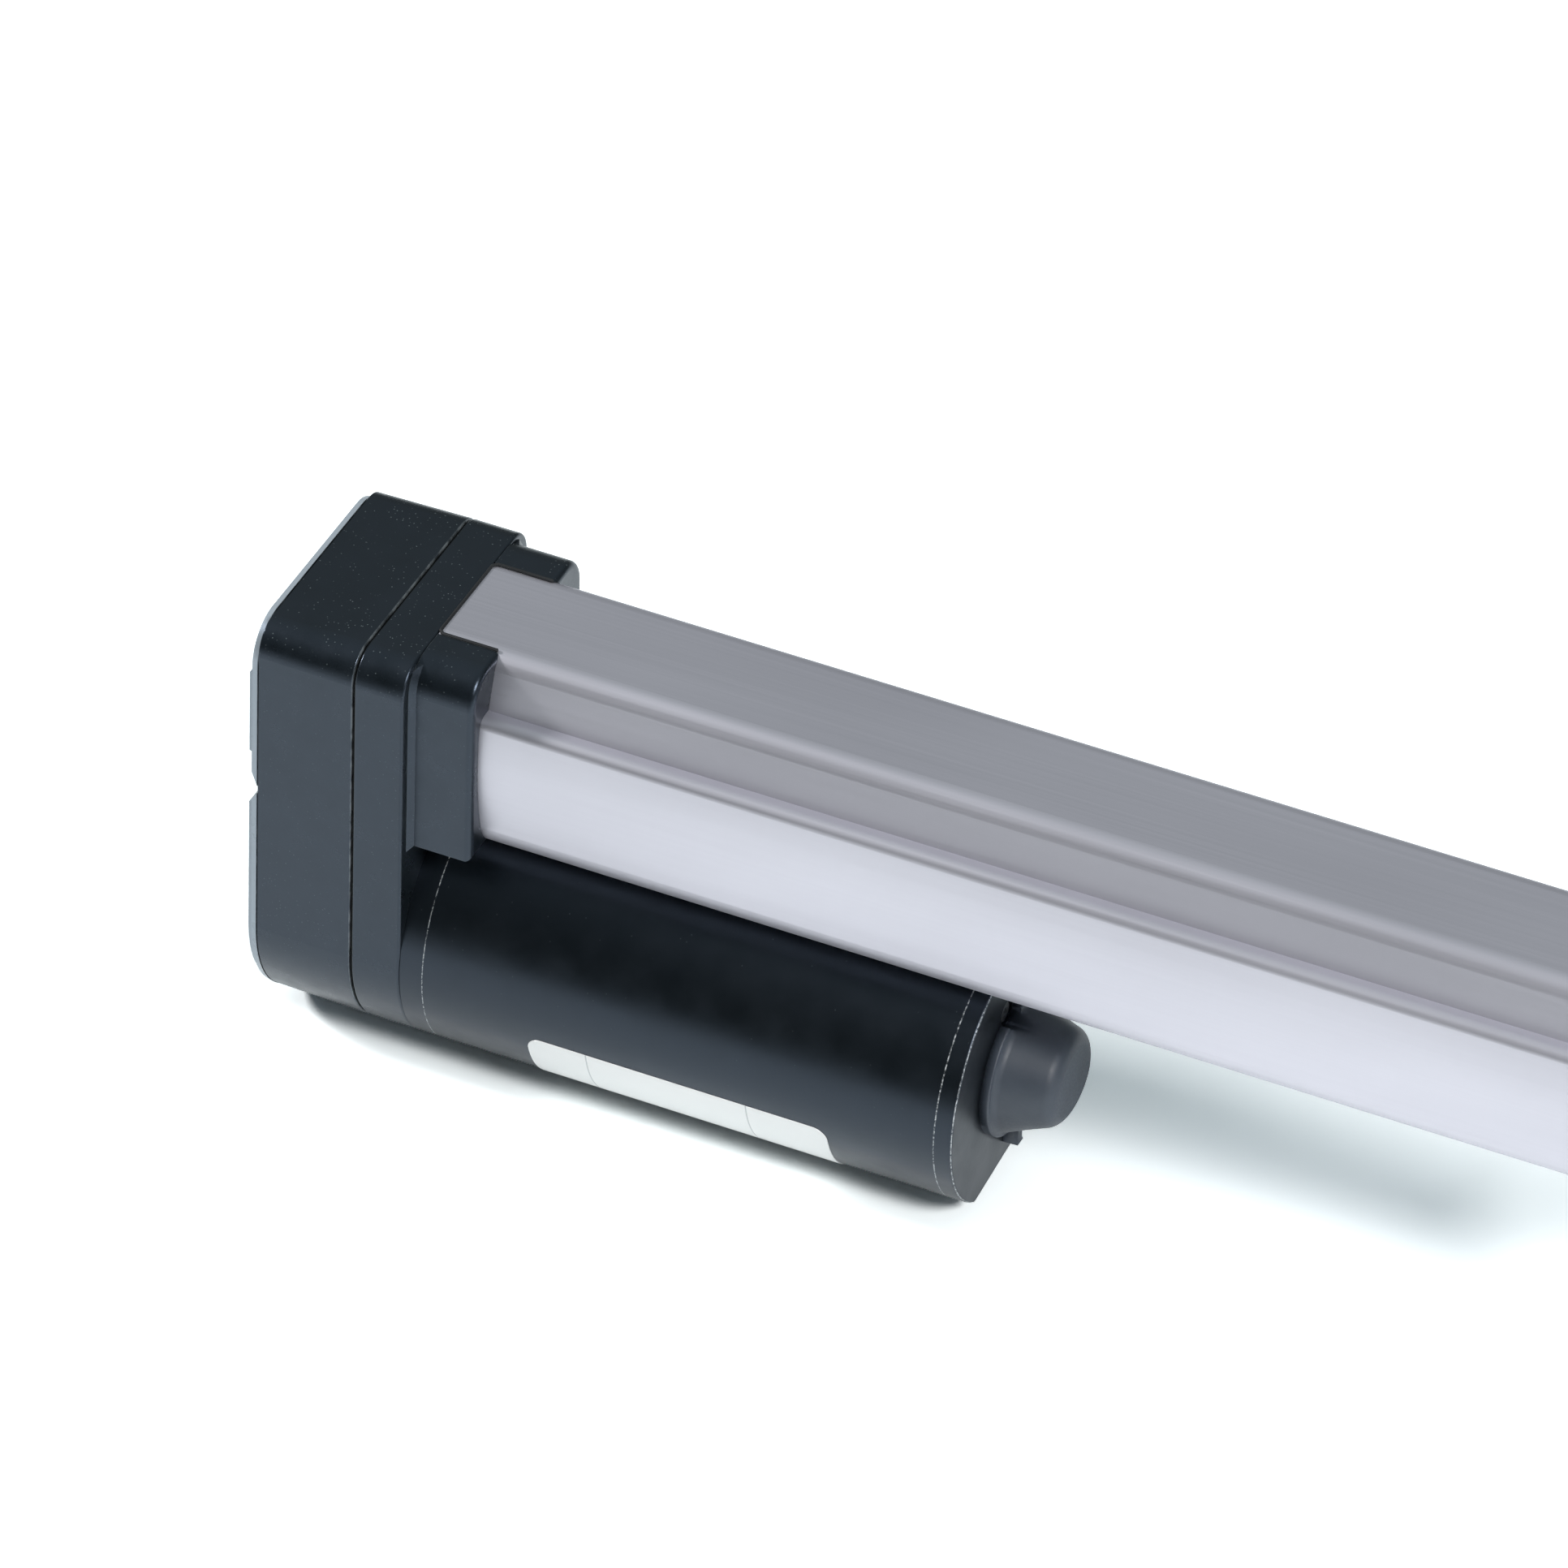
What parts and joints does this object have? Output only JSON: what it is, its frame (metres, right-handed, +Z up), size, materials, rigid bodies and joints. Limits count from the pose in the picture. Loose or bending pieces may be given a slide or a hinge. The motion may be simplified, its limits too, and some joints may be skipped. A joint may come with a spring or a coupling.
{
  "type": "electric linear actuator",
  "caption": "Electric linear actuator: a geared motor slung below an aluminium tube turns a spindle that drives the push rod out and in.",
  "frame": {"origin": "where the spindle's axis meets the rear mounting face, midway between the two upper threaded holes", "axes": "+X along the spindle towards the rod eye, +Z up from the motor towards the tube, +Y across"},
  "size_m": [0.3777, 0.063, 0.1165],
  "materials": {
    "case_black": "satin powder coat on die-cast aluminium",
    "seal_rubber": "matt rubber",
    "screw_steel": "zinc-plated steel",
    "anodised_aluminium": "satin anodised extrusion",
    "bearing_plastic": "moulded acetal",
    "board_green": "lacquered circuit board",
    "black_plastic": "moulded plastic",
    "ground_steel": "ground steel",
    "bronze": "machined bronze",
    "motor_black": "semi-gloss black paint on steel",
    "ferrite": "pressed ferrite",
    "carbon": "pressed carbon",
    "cover_plastic": "soft grey moulded cover",
    "label_white": "white film label, left blank",
    "gear_steel": "hobbed steel",
    "core_steel": "laminated steel",
    "copper": "enamelled copper",
    "polished_steel": "polished stainless steel"
  },
  "bodies": {
    "housing": {"rear_cover": "case_black", "housing_gasket": "seal_rubber", "front_housing": "case_black", "cover_screws": "screw_steel", "outer_tube": "anodised_aluminium", "tube_screws": "screw_steel", "front_end_cap": "case_black", "end_cap_screws": "screw_steel", "guide_bush": "bearing_plastic", "wiper_seal": "seal_rubber", "switch_board": "board_green", "limit_switches": "black_plastic", "spindle_bearing_ring": "ground_steel", "spindle_tail_bush": "bronze", "idler_axle": "ground_steel", "motor_bearing_rings": "ground_steel", "motor_front_ring": "motor_black", "motor_mount_screws": "screw_steel", "motor_tube": "motor_black", "motor_magnets": "ferrite", "brush_holder": "black_plastic", "brushes": "carbon", "motor_end_cap": "motor_black", "motor_cap_screws": "screw_steel", "terminal_cover": "cover_plastic", "rating_label": "label_white"},
    "rotor": {"motor_pinion": "gear_steel", "motor_shaft": "ground_steel", "armature": "core_steel", "armature_windings": "copper", "commutator": "copper", "motor_bearing_races": "ground_steel"},
    "idler": {"idler_gear": "gear_steel"},
    "spindle": {"lead_screw": "ground_steel", "spindle_gear": "gear_steel", "spindle_bearing_race": "ground_steel"},
    "rod": {"drive_nut": "bronze", "push_rod": "polished_steel", "rod_eye": "ground_steel", "eye_cross_pin": "ground_steel"}
  },
  "joints": [
    {"name": "rotor_spin", "type": "hinge", "parent": "housing", "child": "rotor", "pos_m": [0, 0, -0.05681], "axis": [-1, 0, 0], "range_deg": [0, 38857]},
    {"name": "idler_spin", "type": "hinge", "parent": "housing", "child": "idler", "pos_m": [0, 0.0044, -0.0284], "axis": [-1, 0, 0], "range_deg": [-13716, 0]},
    {"name": "spindle_spin", "type": "hinge", "parent": "housing", "child": "spindle", "pos_m": [0, 0, 0], "axis": [-1, 0, 0], "range_deg": [0, 6001]},
    {"name": "rod_slide", "type": "slide", "parent": "housing", "child": "rod", "axis": [1, 0, 0], "range_m": [0, 0.2]}
  ],
  "couplings": [
    {"joint": "idler_spin", "follows": "rotor_spin", "ratio": -0.35294},
    {"joint": "spindle_spin", "follows": "rotor_spin", "ratio": 0.15441},
    {"joint": "rod_slide", "follows": "rotor_spin", "m_per_rad": 0.0002949}
  ]
}
